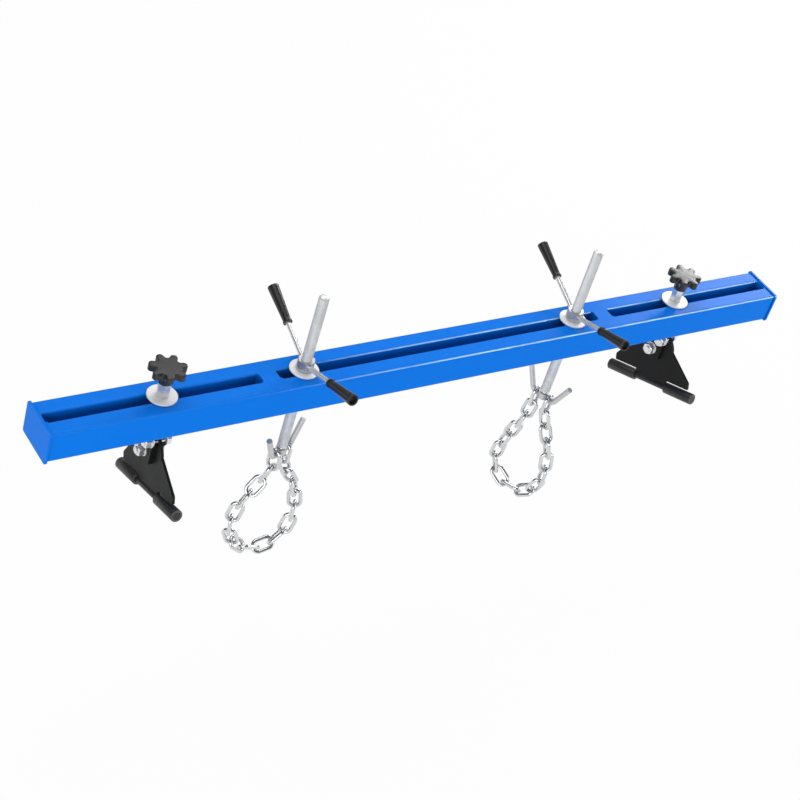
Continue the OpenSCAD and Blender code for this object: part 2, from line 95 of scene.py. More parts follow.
SIDES = ("left", "right")
FOOT_X = {"left": -0.543, "right": 0.5215}
HOIST_X = {"left": -0.284, "right": 0.279}
# mean way of the sleeves of both feet, which are turned by -0.6 and 11.5 degrees
SLEEVE_WAY = (-0.095, 0.9955, 0.0)

# ---------- camera ----------

IMAGE_W = 800
IMAGE_H = 800
SENSOR = 36.0
LENS = 86.872
SHIFT_X = 0.0
SHIFT_Y = 0.0
CAMERA_AT = Vector((-1.859996, -1.924406, 1.921915))
CAMERA_RIGHT = Vector((0.8246445, -0.50791362, 0.24896826))
CAMERA_UP = Vector((0.16685807, 0.63898586, 0.75090309))


def make_camera():
    data = bpy.data.cameras.new("camera")
    data.lens = LENS
    data.sensor_width = SENSOR
    data.sensor_fit = "AUTO"
    data.shift_x = SHIFT_X
    data.shift_y = SHIFT_Y
    data.clip_end = 60
    camera = bpy.data.objects.new("camera", data)
    back = CAMERA_RIGHT.cross(CAMERA_UP)
    axes = Matrix((CAMERA_RIGHT, CAMERA_UP, back)).transposed().to_4x4()
    camera.matrix_world = Matrix.Translation(CAMERA_AT) @ axes
    bpy.context.scene.collection.objects.link(camera)
    bpy.context.scene.camera = camera
    return camera


camera = make_camera()

# ---------- node building ----------


def add(tree, kind, inputs=None, **settings):
    """Adds a node. An input given as a socket is linked, any other value is set."""
    node = tree.nodes.new(kind)
    for name, value in settings.items():
        setattr(node, name, value)
    for name, value in (inputs or {}).items():
        if isinstance(value, bpy.types.NodeSocket):
            tree.links.new(value, node.inputs[name])
        else:
            node.inputs[name].default_value = value
    return node


def maths(tree, operation, *values):
    inputs = dict(enumerate(values))
    return add(tree, "ShaderNodeMath", inputs, operation=operation, use_clamp=True).outputs[0]


def maths_open(tree, operation, *values):
    inputs = dict(enumerate(values))
    return add(tree, "ShaderNodeMath", inputs, operation=operation).outputs[0]


def spread(tree, value, low, high, to_low=0.0, to_high=1.0):
    """Maps value from low..high to to_low..to_high."""
    inputs = {
        "Value": value, "From Min": low, "From Max": high, "To Min": to_low, "To Max": to_high
    }
    return add(tree, "ShaderNodeMapRange", inputs).outputs["Result"]


def mixed(tree, mask, under, over):
    """Colour under where mask is 0 and over where it is 1."""
    node = add(tree, "ShaderNodeMix", data_type="RGBA")
    for socket, value in ((node.inputs[0], mask), (node.inputs[6], under), (node.inputs[7], over)):
        if isinstance(value, bpy.types.NodeSocket):
            tree.links.new(value, socket)
        else:
            socket.default_value = value
    return node.outputs[2]


def effect(name, inputs, output, output_kind="NodeSocketFloat"):
    """Starts a node group with number inputs and one output."""
    tree = bpy.data.node_groups.new(name, "ShaderNodeTree")
    for label, value in inputs.items():
        socket = tree.interface.new_socket(label, in_out="INPUT", socket_type="NodeSocketFloat")
        socket.default_value = value
    tree.interface.new_socket(output, in_out="OUTPUT", socket_type=output_kind)
    given = tree.nodes.new("NodeGroupInput").outputs
    ends = tree.nodes.new("NodeGroupOutput").inputs
    return tree, given, ends


def object_place(tree):
    return add(tree, "ShaderNodeTexCoord").outputs["Object"]


def noise_value(tree, place, scale, detail=3.0, roughness=0.55):
    inputs = {"Vector": place, "Scale": scale, "Detail": detail, "Roughness": roughness}
    return add(tree, "ShaderNodeTexNoise", inputs).outputs["Fac"]


def make_cloudiness():
    """Broad soft patches with finer ones over them."""
    tree, given, ends = effect("cloudiness", {"Scale": 10.0, "Contrast": 1.0}, "Value")
    place = object_place(tree)
    broad = noise_value(tree, place, given["Scale"], 2.0)
    fine = noise_value(tree, place, maths_open(tree, "MULTIPLY", given["Scale"], 7.0), 4.0)
    broad_part = maths_open(tree, "MULTIPLY", broad, 0.7)
    fine_part = maths_open(tree, "MULTIPLY", fine, 0.3)
    both = maths_open(tree, "ADD", broad_part, fine_part)
    apart = maths_open(tree, "MULTIPLY", maths_open(tree, "SUBTRACT", both, 0.5), given["Contrast"])
    tree.links.new(maths(tree, "ADD", apart, 0.5), ends["Value"])
    return tree


def make_edge_wear_and_sheen():
    """Mask that is 1 on the outer edges, broken up in patches: wear on the black paint and plastic,
    painted highlight on the blue paint.
    """
    inputs = {"Radius": 0.0015, "Patch Scale": 60.0, "Wear": 0.5}
    tree, given, ends = effect("edge wear and sheen", inputs, "Mask")
    soft = add(tree, "ShaderNodeBevel", {"Radius": given["Radius"]}, samples=6).outputs[0]
    sharp = add(tree, "ShaderNodeNewGeometry").outputs["Normal"]
    pair = {0: soft, 1: sharp}
    same = add(tree, "ShaderNodeVectorMath", pair, operation="DOT_PRODUCT").outputs["Value"]
    edge = spread(tree, same, 0.995, 0.80)
    patches = noise_value(tree, object_place(tree), given["Patch Scale"], 5.0, 0.7)
    patchy_sheen_and_wear = add(
        tree,
        "ShaderNodeMapRange",
        {"Value": patches, "From Min": maths_open(tree, "SUBTRACT", 1.0, given["Wear"]),
         "From Max": maths_open(tree, "SUBTRACT", 1.12, given["Wear"])},
    ).outputs["Result"]
    tree.links.new(maths(tree, "MULTIPLY", edge, patchy_sheen_and_wear), ends["Mask"])
    return tree


def make_grain():
    """Height of a fine even texture: orange peel in paint, sparkle in mouldings."""
    tree, given, ends = effect("grain", {"Scale": 900.0, "Coarse": 0.3}, "Height")
    place = object_place(tree)
    fine = noise_value(tree, place, given["Scale"], 2.0, 0.5)
    coarse = noise_value(tree, place, maths_open(tree, "DIVIDE", given["Scale"], 5.0), 1.0, 0.5)
    part = maths_open(tree, "MULTIPLY", coarse, given["Coarse"])
    tree.links.new(maths_open(tree, "ADD", fine, part), ends["Height"])
    return tree


def make_scuffs():
    """Mask of short fine scratches in two directions."""
    tree, given, ends = effect("scuffs", {"Scale": 40.0, "Amount": 0.3}, "Mask")
    place = object_place(tree)
    both = None
    for turn, stretch in ((0.6, (1, 14, 14)), (-0.9, (14, 1.2, 12))):
        inputs = {"Vector": place, "Rotation": (turn, turn / 2, turn), "Scale": stretch}
        lay = add(tree, "ShaderNodeMapping", inputs).outputs[0]
        streak = noise_value(tree, lay, given["Scale"], 3.0, 0.6)
        part = maths_open(tree, "MULTIPLY", given["Amount"], 0.2)
        level = maths_open(tree, "SUBTRACT", 0.80, part)
        mask = add(
            tree, "ShaderNodeMapRange",
            {"Value": streak, "From Min": level, "From Max": maths_open(tree, "ADD", level, 0.04)},
        ).outputs["Result"]
        both = mask if both is None else maths(tree, "MAXIMUM", both, mask)
    tree.links.new(both, ends["Mask"])
    return tree


def make_dust():
    """Mask of settled dust on faces that look up."""
    tree, given, ends = effect("settled dust", {"Amount": 0.3}, "Mask")
    normal = add(tree, "ShaderNodeTexCoord").outputs["Normal"]
    up = add(tree, "ShaderNodeSeparateXYZ", {0: normal}).outputs["Z"]
    facing = spread(tree, up, 0.5, 1.0)
    speck = noise_value(tree, object_place(tree), 55.0, 6.0, 0.65)
    patch = spread(tree, speck, 0.42, 0.75)
    part = maths(tree, "MULTIPLY", facing, patch)
    tree.links.new(maths(tree, "MULTIPLY", part, given["Amount"]), ends["Mask"])
    return tree


def make_turned_edges():
    """Mask that is 1 on the rounded long edges, between the flat faces."""
    tree, given, ends = effect("turned edges", {"Strength": 1.0}, "Mask")
    normal = add(tree, "ShaderNodeTexCoord").outputs["Normal"]
    apart = add(tree, "ShaderNodeSeparateXYZ", {0: normal}).outputs
    flat = None
    for axis in ("X", "Y", "Z"):
        size = maths(tree, "ABSOLUTE", apart[axis])
        flat = size if flat is None else maths(tree, "MAXIMUM", flat, size)
    turned = spread(tree, flat, 0.985, 0.93)
    tree.links.new(maths(tree, "MULTIPLY", turned, given["Strength"]), ends["Mask"])
    return tree


def make_painted_corner_highlight():
    """Mask of a painted highlight along the upper front corners of the rails, patchy and growing to
    the right.
    """
    inputs = {"From": -0.30, "Full": 0.05, "Amount": 1.0}
    tree, given, ends = effect("painted corner highlight", inputs, "Mask")
    place = add(tree, "ShaderNodeTexCoord").outputs
    up_front = (0.0, -0.7071, 0.7071)
    inputs = {0: place["Normal"], 1: up_front}
    facing = add(tree, "ShaderNodeVectorMath", inputs, operation="DOT_PRODUCT").outputs["Value"]
    corner = spread(tree, facing, 0.90, 0.975)
    x = add(tree, "ShaderNodeSeparateXYZ", {0: place["Object"]}).outputs["X"]
    inputs = {"Value": x, "From Min": given["From"], "From Max": given["Full"]}
    along = add(tree, "ShaderNodeMapRange", inputs).outputs["Result"]
    patches = spread(tree, noise_value(tree, place["Object"], 14.0, 3.0), 0.34, 0.52, 0.45, 1.0)
    mask = maths(tree, "MULTIPLY", maths(tree, "MULTIPLY", corner, along), patches)
    tree.links.new(maths(tree, "MULTIPLY", mask, given["Amount"]), ends["Mask"])
    return tree


def make_painted_recess_shade():
    """Mask of painted shade that grows in narrow gaps, from ambient occlusion."""
    tree, given, ends = effect("painted recess shade", {"Amount": 1.0}, "Mask")
    open_sky = add(tree, "ShaderNodeAmbientOcclusion", {"Distance": 0.030}, samples=6).outputs["AO"]
    closed = spread(tree, open_sky, 0.88, 0.42)
    tree.links.new(maths(tree, "MULTIPLY", closed, given["Amount"]), ends["Mask"])
    return tree


CLOUDINESS = make_cloudiness()
EDGE_WEAR_AND_SHEEN = make_edge_wear_and_sheen()
GRAIN = make_grain()
SCUFFS = make_scuffs()
DUST = make_dust()
TURNED_EDGES = make_turned_edges()
PAINTED_RECESS_SHADE = make_painted_recess_shade()
PAINTED_CORNER_HIGHLIGHT = make_painted_corner_highlight()


def placed(tree, group, **values):
    """Places a shared effect in a material and gives its output socket."""
    node = add(tree, "ShaderNodeGroup", node_tree=group)
    for name, value in values.items():
        node.inputs[name.replace("_", " ")].default_value = value
    return node.outputs[0]


def start_material(name, constants):
    """A material with one Principled shader, whose plain numbers are set on its own sockets."""
    material = bpy.data.materials.new(name)
    material.use_nodes = True
    tree = material.node_tree
    tree.nodes.clear()
    shader = add(tree, "ShaderNodeBsdfPrincipled", constants)
    out = add(tree, "ShaderNodeOutputMaterial")
    tree.links.new(shader.outputs[0], out.inputs["Surface"])
    return material, tree, shader


def finish_surface(tree, shader, colour, roughness, height, depth):
    tree.links.new(colour, shader.inputs["Base Color"])
    tree.links.new(roughness, shader.inputs["Roughness"])
    bump = add(tree, "ShaderNodeBump", {"Height": height, "Strength": 1.0, "Distance": depth})
    tree.links.new(bump.outputs[0], shader.inputs["Normal"])


# ---------- materials ----------


def make_blue_paint():
    """Gloss powder coat: flat deep blue, slight orange peel, a glossy film along the edges, painted
    highlights along the edges and upper front corners, and painted shade in the slots and gaps.
    """
    material, tree, shader = start_material(
        "blue_gloss_paint", {"Specular IOR Level": 0.025, "Coat Roughness": 0.12}
    )
    clouds = placed(tree, CLOUDINESS, Scale=9.0, Contrast=1.2)
    colour = mixed(tree, clouds, (0.0018, 0.178, 0.775, 1), (0.0030, 0.192, 0.815, 1))
    # painted highlight: lighter blue along the outer edges, in patches that look like wear
    patchy_sheen_and_wear = placed(tree, EDGE_WEAR_AND_SHEEN, Radius=0.0010, Patch_Scale=45.0, Wear=0.42)
    colour = mixed(tree, maths(tree, "MULTIPLY", patchy_sheen_and_wear, 0.30), colour, (0.10, 0.33, 0.84, 1))
    dust = placed(tree, DUST, Amount=0.025)
    colour = mixed(tree, dust, colour, (0.30, 0.42, 0.60, 1))
    # painted highlight: light cyan blue along the upper front corners of the rails, strongest to
    # the right
    front_corner_highlight = placed(tree, PAINTED_CORNER_HIGHLIGHT, Amount=0.85)
    colour = mixed(tree, front_corner_highlight, colour, (0.42, 0.74, 0.96, 1))
    # painted shade: dark blue in the slots and narrow gaps, drawn from ambient occlusion
    recess = placed(tree, PAINTED_RECESS_SHADE, Amount=0.68)
    colour = mixed(tree, recess, colour, (0.0008, 0.066, 0.175, 1))
    scuffs = placed(tree, SCUFFS, Scale=16.0, Amount=0.35)
    rough = spread(tree, clouds, 0.0, 1.0, 0.17, 0.23)
    rough = maths(tree, "ADD", rough, maths(tree, "MULTIPLY", scuffs, 0.12))
    film = placed(tree, TURNED_EDGES, Strength=1.0)
    tree.links.new(film, shader.inputs["Coat Weight"])
    peel = placed(tree, GRAIN, Scale=420.0, Coarse=1.2)
    finish_surface(tree, shader, colour, rough, peel, 0.00002)
    return material


def make_black_paint(name, gloss):
    """Black paint over rolled steel."""
    material, tree, shader = start_material(name, {"Specular IOR Level": gloss})
    clouds = placed(tree, CLOUDINESS, Scale=26.0, Contrast=1.6)
    colour = mixed(tree, clouds, (0.0080, 0.0082, 0.0085, 1), (0.0135, 0.0138, 0.0142, 1))
    edges = placed(tree, EDGE_WEAR_AND_SHEEN, Radius=0.0012, Patch_Scale=130.0, Wear=0.52)
    colour = mixed(tree, maths(tree, "MULTIPLY", edges, 0.55), colour, (0.14, 0.14, 0.145, 1))
    dust = placed(tree, DUST, Amount=0.05)
    colour = mixed(tree, dust, colour, (0.16, 0.155, 0.15, 1))
    rough = spread(tree, clouds, 0.0, 1.0, 0.36, 0.52)
    grain = placed(tree, GRAIN, Scale=700.0, Coarse=1.5)
    finish_surface(tree, shader, colour, rough, grain, 0.00003)
    return material


def make_zinc(name, metal, rough_low, rough_high, dark):
    """Zinc plating with faint clouds and handling marks."""
    material, tree, shader = start_material(name, {"Metallic": metal})
    clouds = placed(tree, CLOUDINESS, Scale=45.0, Contrast=1.8)
    low_grey = (0.70 * dark, 0.71 * dark, 0.72 * dark, 1)
    high_grey = (0.90 * dark, 0.905 * dark, 0.91 * dark, 1)
    colour = mixed(tree, clouds, low_grey, high_grey)
    scuffs = placed(tree, SCUFFS, Scale=60.0, Amount=0.45)
    colour = mixed(tree, maths(tree, "MULTIPLY", scuffs, 0.5), colour, (0.42, 0.43, 0.44, 1))
    rough = spread(tree, clouds, 0.0, 1.0, rough_low, rough_high)
    rough = maths(tree, "ADD", rough, maths(tree, "MULTIPLY", scuffs, 0.15))
    grain = placed(tree, GRAIN, Scale=1400.0, Coarse=0.8)
    finish_surface(tree, shader, colour, rough, grain, 0.000006)
    return material


def make_brass():
    material, tree, shader = start_material("turned_brass", {"Metallic": 1.0})
    clouds = placed(tree, CLOUDINESS, Scale=70.0, Contrast=1.5)
    colour = mixed(tree, clouds, (0.46, 0.29, 0.075, 1), (0.62, 0.42, 0.13, 1))
    rough = spread(tree, clouds, 0.0, 1.0, 0.25, 0.42)
    grain = placed(tree, GRAIN, Scale=1500.0, Coarse=0.5)
    finish_surface(tree, shader, colour, rough, grain, 0.00002)
    return material


def make_black_plastic():
    """Moulded black plastic of the star knobs and grips."""
    material, tree, shader = start_material("moulded_black_plastic", {"Specular IOR Level": 0.42})
    clouds = placed(tree, CLOUDINESS, Scale=50.0, Contrast=1.2)
    colour = mixed(tree, clouds, (0.0125, 0.0127, 0.0130, 1), (0.0200, 0.0203, 0.0208, 1))
    edges = placed(tree, EDGE_WEAR_AND_SHEEN, Radius=0.0015, Patch_Scale=150.0, Wear=0.55)
    colour = mixed(tree, maths(tree, "MULTIPLY", edges, 0.30), colour, (0.10, 0.10, 0.105, 1))
    dust = placed(tree, DUST, Amount=0.04)
    colour = mixed(tree, dust, colour, (0.20, 0.195, 0.19, 1))
    rough = spread(tree, clouds, 0.0, 1.0, 0.27, 0.38)
    grain = placed(tree, GRAIN, Scale=1100.0, Coarse=1.0)
    finish_surface(tree, shader, colour, rough, grain, 0.00003)
    return material


def make_rubber():
    """Black rubber sleeves of the feet."""
    material, tree, shader = start_material("black_rubber_sleeve", {"Specular IOR Level": 0.45})
    clouds = placed(tree, CLOUDINESS, Scale=60.0, Contrast=1.5)
    colour = mixed(tree, clouds, (0.0135, 0.0135, 0.0138, 1), (0.0250, 0.0250, 0.0255, 1))
    scuffs = placed(tree, SCUFFS, Scale=40.0, Amount=0.5)
    colour = mixed(tree, maths(tree, "MULTIPLY", scuffs, 0.5), colour, (0.06, 0.06, 0.06, 1))
    dust = placed(tree, DUST, Amount=0.10)
    colour = mixed(tree, dust, colour, (0.19, 0.185, 0.18, 1))
    # painted highlight: the end faces of the sleeves, which face along them, are coloured light
    # grey
    normal = add(tree, "ShaderNodeTexCoord").outputs["Normal"]
    pair = {0: normal, 1: SLEEVE_WAY}
    along = add(tree, "ShaderNodeVectorMath", pair, operation="DOT_PRODUCT").outputs["Value"]
    end_face_highlight = spread(tree, maths(tree, "ABSOLUTE", along), 0.93, 0.97)
    colour = mixed(tree, end_face_highlight, colour, (0.115, 0.115, 0.117, 1))
    rough = spread(tree, clouds, 0.0, 1.0, 0.34, 0.48)
    grain = placed(tree, GRAIN, Scale=800.0, Coarse=1.5)
    finish_surface(tree, shader, colour, rough, grain, 0.00004)
    return material


BLUE_PAINT = make_blue_paint()
BLACK_PAINT = make_black_paint("black_satin_paint", 0.12)
ROD_PAINT = make_black_paint("black_rod_paint", 0.60)
ZINC = make_zinc("bright_zinc_plate", 0.80, 0.22, 0.36, 0.95)
WASHER_ZINC = make_zinc("pale_zinc_plate", 0.22, 0.42, 0.58, 1.04)
THREAD_ZINC = make_zinc("satin_zinc_plate", 0.50, 0.30, 0.44, 0.99)
HOOK_ZINC = make_zinc("hook_zinc_plate", 0.62, 0.42, 0.56, 0.72)
HUB_STEEL = make_zinc("hub_steel", 0.90, 0.26, 0.42, 0.66)
CHAIN_ZINC = make_zinc("chain_zinc_plate", 0.96, 0.10, 0.22, 0.82)
BRASS = make_brass()
BLACK_PLASTIC = make_black_plastic()
RUBBER = make_rubber()


def dress(obj, material):
    obj.data.materials.clear()
    obj.data.materials.append(material)


MATERIAL_OF = {
    "rail": BLUE_PAINT,
    "spacer": BLUE_PAINT,
    "end_plate": BLUE_PAINT,
    "handle_nut": HUB_STEEL,
    "clamp_washer": WASHER_ZINC,
    "hoist_washer": WASHER_ZINC,
    "knob_bush": BRASS,
    "knob": BLACK_PLASTIC,
    "grip": BLACK_PLASTIC,
    "hanger": BLACK_PAINT,
    "foot_plate": BLACK_PAINT,
    "foot_rod": ROD_PAINT,
    "sleeve": RUBBER,
    "chain": CHAIN_ZINC,
    "hook": HOOK_ZINC,
}

for name, obj in NODES.items():
    made_of = ZINC
    for word, material in MATERIAL_OF.items():
        if word in name:
            made_of = material
            break
    dress(obj, made_of)

# ---------- soft edges on the CAD pieces ----------

EDGE_ANGLE = math.radians(32)
SAME_PLACE = 0.000004
EDGE_ROUND = {
    "knob_bush": 0,
    "knob": 0.0008,
    "grip": 0.0005,
    "spacer": 0.0006,
    "end_plate": 0.0012,
    "washer": 0.0004,
    "foot_plate": 0.0007,
    "hanger": 0.0006,
    "sleeve": 0.0008,
    "foot_rod": 0.0005,
    "bolt": 0.0003,
    "nut": 0.0004,
}


def soften(obj, width):
    """Welds the seams of the imported mesh and rounds its sharp edges."""
    weld = obj.modifiers.new("weld", "WELD")
    weld.merge_threshold = SAME_PLACE
    bevel = obj.modifiers.new("edge", "BEVEL")
    bevel.width = width
    bevel.segments = 2
    bevel.limit_method = "ANGLE"
    bevel.angle_limit = EDGE_ANGLE
    bevel.harden_normals = False


for name, obj in NODES.items():
    for word, width in EDGE_ROUND.items():
        if word in name:
            if width:
                soften(obj, width)
            break

# ---------- threaded rods ----------

THREAD_SEGMENTS = 28
# share of the pitch at which the flank starts, the crest starts and ends, and the flank ends
FLANK_FROM, CREST_FROM, CREST_TO, FLANK_TO = 0.00, 0.34, 0.52, 0.86
DOME_SHARE = 0.16
SHOULDER_SHARE = 0.6
SHOULDER_RISE = 0.75
# crest radius, root radius, pitch and how far the ends are turned down
LIFT_THREAD = (0.0090, 0.0079, 0.0025, 0.0012)
STUD_THREAD = (0.0060, 0.0052, 0.00175, 0.0006)


def threaded_rod(name, x, low, high, crest, root, pitch, point):
    """Right-hand thread on a rod at (x, 0), both ends turned down by point and domed."""
    dome = DOME_SHARE * root
    low, high = low + dome, high - dome
    profile = ((FLANK_FROM, root), (CREST_FROM, crest), (CREST_TO, crest), (FLANK_TO, root))
    turns = math.ceil((high - low) / pitch) + 2
    steps = turns * THREAD_SEGMENTS
    mesh = bmesh.new()
    rows = []
    for step in range(steps + 1):
        angle = 2 * math.pi * step / THREAD_SEGMENTS
        row = []
        for share, radius in profile:
            z = low + pitch * (step / THREAD_SEGMENTS + share - 1.5)
            inside = min(z - low, high - z)
            if inside <= 0:
                z = low if z < (low + high) / 2 else high
                radius = root - point
            else:
                radius = min(radius, root - point + inside)
            row.append(mesh.verts.new((x + radius * math.cos(angle), radius * math.sin(angle), z)))
        rows.append(row)
    last = len(profile) - 1
    for step in range(steps):
        here, after = rows[step], rows[step + 1]
        for k in range(last):
            mesh.faces.new((here[k], after[k], after[k + 1], here[k + 1]))
        if step + THREAD_SEGMENTS < steps:
            up, up_after = rows[step + THREAD_SEGMENTS], rows[step + THREAD_SEGMENTS + 1]
            mesh.faces.new((here[last], after[last], up_after[0], up[0]))
    bmesh.ops.remove_doubles(mesh, verts=mesh.verts, dist=0.00001)
    bmesh.ops.dissolve_degenerate(mesh, edges=mesh.edges, dist=0.00001)
    for level, way in ((low, -1), (high, 1)):
        rim = [v for v in mesh.verts if abs(v.co.z - level) < 0.000002]
        rim.sort(key=lambda v: math.atan2(v.co.y, v.co.x - x))
        rise = level + way * SHOULDER_RISE * dome
        shoulder = [
            mesh.verts.new((x + SHOULDER_SHARE * (v.co.x - x), SHOULDER_SHARE * v.co.y, rise))
            for v in rim
        ]
        tip = mesh.verts.new((x, 0, level + way * dome))
        for k in range(len(rim)):
            after = (k + 1) % len(rim)
            mesh.faces.new((rim[k], rim[after], shoulder[after], shoulder[k]))
            mesh.faces.new((shoulder[k], shoulder[after], tip))
    bmesh.ops.recalc_face_normals(mesh, faces=mesh.faces)
    return piece_from(mesh, name)


def piece_from(mesh, name, smooth=False):
    data = bpy.data.meshes.new(name)
    mesh.to_mesh(data)
    mesh.free()
    for polygon in data.polygons:
        polygon.use_smooth = smooth
    obj = bpy.data.objects.new(name, data)
    bpy.context.scene.collection.objects.link(obj)
    return obj


for side in SIDES:
    box_low, box_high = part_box(f"lift_screw_{side}")
    screw = threaded_rod(
        f"lift_screw_thread_{side}", HOIST_X[side], box_low[2], box_high[2], *LIFT_THREAD
    )
    dress(screw, THREAD_ZINC)
    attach(screw, f"lift_{side}")
    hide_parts(f"lift_screw_{side}")

    box_low, box_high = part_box(f"clamp_stud_{side}")
    stud = threaded_rod(
        f"clamp_stud_thread_{side}", FOOT_X[side], box_low[2], box_high[2], *STUD_THREAD
    )
    dress(stud, THREAD_ZINC)
    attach(stud, f"foot_swivel_{side}")
    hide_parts(f"clamp_stud_{side}")

# ---------- star knobs and their long nuts ----------

LOBES = 7
KNOB_R = 0.0315
LOBE_R = 0.0065
HOLLOW_R = 0.0049
STAR_LOW, STAR_HIGH = 0.048, 0.061
LOW_ROUND, HIGH_ROUND, CROWN = 0.0012, 0.0016, 0.0003
CROWN_INSET = 0.0045
NECK_FOOT = 0.029
# radius and height over the neck's foot
NECK_PROFILE = (
    (0.0112, 0.0), (0.0120, 0.0008), (0.0121, 0.0050), (0.0125, 0.0090),
    (0.0134, 0.0130), (0.0149, 0.0165), (0.0164, 0.0185), (0.0172, 0.0195),
)
NUT_LOW = 0.003
NUT_INTO_NECK = 0.0004
NUT_HALF_FLATS = 0.0095
NUT_FACETS = 48
CHAMFER_FROM = 0.0092
CHAMFER_SLOPE = 0.58
KNOB_TURN = {"left": math.radians(44.4), "right": math.radians(22.0)}
NUT_TURN = {"left": math.radians(35.0), "right": math.radians(1.4)}


def star_outline(turn, inset):
    """Lobes and hollows as arcs that meet smoothly, drawn in by inset, seen from above."""
    half = math.pi / LOBES
    lobe_at = KNOB_R - LOBE_R
    apart = lobe_at * math.sin(half)
    hollow_at = lobe_at * math.cos(half) + math.sqrt((LOBE_R + HOLLOW_R) ** 2 - apart ** 2)
    lobe_sweep = math.atan2(hollow_at * math.sin(half), hollow_at * math.cos(half) - lobe_at)
    hollow_sweep = math.atan2(apart, lobe_at * math.cos(half) - hollow_at)
    outline = []
    for lobe in range(LOBES):
        at = turn + 2 * half * lobe
        for step in range(11):
            swing = at - lobe_sweep + 2 * lobe_sweep * step / 10
            outline.append((
                lobe_at * math.cos(at) + (LOBE_R - inset) * math.cos(swing),
                lobe_at * math.sin(at) + (LOBE_R - inset) * math.sin(swing),
            ))
        at += half
        for step in range(1, 6):
            swing = at - hollow_sweep - 2 * (math.pi - hollow_sweep) * step / 6
            outline.append((
                hollow_at * math.cos(at) + (HOLLOW_R + inset) * math.cos(swing),
                hollow_at * math.sin(at) + (HOLLOW_R + inset) * math.sin(swing),
            ))
    return outline


def join_rows(mesh, rows):
    """Faces between neighbouring closed rows of equally many corners."""
    count = len(rows[0])
    for low_row, high_row in zip(rows, rows[1:]):
        for k in range(count):
            after = (k + 1) % count
            mesh.faces.new((low_row[k], low_row[after], high_row[after], high_row[k]))


def stack(mesh, x, rings):
    """Joins outlines of equal length, each with its height, and closes both ends with a fan."""
    rows = [[mesh.verts.new((x + px, py, z)) for px, py in outline] for outline, z in rings]
    join_rows(mesh, rows)
    foot = mesh.verts.new((x, 0, rings[0][1]))
    head = mesh.verts.new((x, 0, rings[-1][1]))
    count = len(rows[0])
    for k in range(count):
        after = (k + 1) % count
        mesh.faces.new((foot, rows[0][after], rows[0][k]))
        mesh.faces.new((head, rows[-1][k], rows[-1][after]))


def circle(radius, count=44):
    turns = [2 * math.pi * k / count for k in range(count)]
    return [(radius * math.cos(turn), radius * math.sin(turn)) for turn in turns]


def star_knob(side):
    """Flat-topped star on a neck that flares into it."""
    mesh = bmesh.new()
    turn = KNOB_TURN[side]
    rings = []
    for step in range(4):
        swing = math.pi / 2 * step / 3
        inset = LOW_ROUND * (1 - math.sin(swing))
        rings.append((star_outline(turn, inset), STAR_LOW + LOW_ROUND * (1 - math.cos(swing))))
    for step in range(5):
        swing = math.pi / 2 * step / 4
        inset = HIGH_ROUND * (1 - math.cos(swing))
        height = STAR_HIGH - CROWN - HIGH_ROUND * (1 - math.sin(swing))
        rings.append((star_outline(turn, inset), height))
    rings.append((star_outline(turn, CROWN_INSET), STAR_HIGH))
    stack(mesh, FOOT_X[side], rings)
    stack(mesh, FOOT_X[side], [(circle(radius), NECK_FOOT + up) for radius, up in NECK_PROFILE])
    return smooth_piece(mesh, f"star_knob_{side}")


def smooth_piece(mesh, name):
    """Piece with smooth faces and its sharper edges kept."""
    bmesh.ops.recalc_face_normals(mesh, faces=mesh.faces)
    for edge in mesh.edges:
        edge.smooth = edge.calc_face_angle(0) < EDGE_ANGLE
    return piece_from(mesh, name, smooth=True)


def long_nut(side):
    """Hexagonal nut with turned chamfers on both ends."""
    mesh = bmesh.new()

    def hexagon_at(turn):
        within = (turn - NUT_TURN[side] + math.pi / 6) % (math.pi / 3) - math.pi / 6
        return NUT_HALF_FLATS / math.cos(within)

    start = NUT_TURN[side] + math.pi / 6
    turns = [start + 2 * math.pi * k / NUT_FACETS for k in range(NUT_FACETS)]
    rows = []
    for up, way in ((NUT_LOW, 1), (NECK_FOOT + NUT_INTO_NECK, -1)):
        inner = [(CHAMFER_FROM, turn, up) for turn in turns]
        outer = []
        for turn in turns:
            radius = hexagon_at(turn)
            outer.append((radius, turn, up + way * CHAMFER_SLOPE * (radius - CHAMFER_FROM)))
        rows += [inner, outer] if way > 0 else [outer, inner]
    made = []
    for row in rows:
        made.append([
            mesh.verts.new((FOOT_X[side] + r * math.cos(turn), r * math.sin(turn), z))
            for r, turn, z in row
        ])
    join_rows(mesh, made)
    mesh.faces.new(made[0][::-1])
    mesh.faces.new(made[-1])
    return smooth_piece(mesh, f"clamp_nut_{side}")


for side in SIDES:
    star = star_knob(side)
    dress(star, BLACK_PLASTIC)
    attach(star, f"clamp_knob_{side}")
    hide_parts(f"knob_{side}")

    nut = long_nut(side)
    dress(nut, ZINC)
    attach(nut, f"clamp_knob_{side}")
    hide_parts(f"knob_bush_{side}")

# ---------- flush fills that round the slot ends ----------

SLOT_HALF = 0.010
FILL_HALF = 0.0135
FILL_DEPTH = 0.012
# just under the rails' tops, so that the washers slide clear of it
FILL_TOP = -0.00005
BEAM_DEPTH = 0.056
FILLET = 0.0038
BRIDGE_HALF = 0.0155
BRIDGE_X = 0.3485
SLOT_END = 0.746
END_FILL = 0.003


